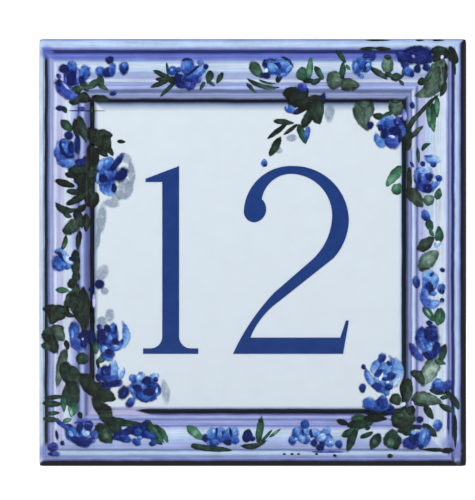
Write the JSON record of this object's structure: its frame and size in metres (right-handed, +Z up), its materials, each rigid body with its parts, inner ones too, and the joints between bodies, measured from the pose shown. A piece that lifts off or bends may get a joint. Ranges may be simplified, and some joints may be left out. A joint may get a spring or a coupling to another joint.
{
  "type": "house number plaque",
  "caption": "Square glazed ceramic house number tile with a moulded picture frame, blue numerals and a painted garland, for bedding flat on a wall.",
  "frame": {"origin": "centre of the flat back, where the plaque is bedded on the wall", "axes": "+X to the viewer's right, +Z up, +Y into the wall, so the painted front faces -Y"},
  "size_m": [0.15, 0.0095, 0.15],
  "materials": {
    "glazed_tile": "gloss glaze, pale blue-white",
    "cobalt_enamel": "gloss enamel, cobalt blue",
    "dark_enamel": "gloss enamel, blue-black",
    "rose_enamel": "gloss enamel, mid blue",
    "leaf_enamel": "gloss enamel, dark olive green"
  },
  "bodies": {
    "root": {"tile": "glazed_tile", "sight_line": "dark_enamel", "outer_line": "dark_enamel", "numeral_one": "cobalt_enamel", "numeral_two": "cobalt_enamel", "leaves": "leaf_enamel", "roses": "rose_enamel"}
  },
  "joints": []
}
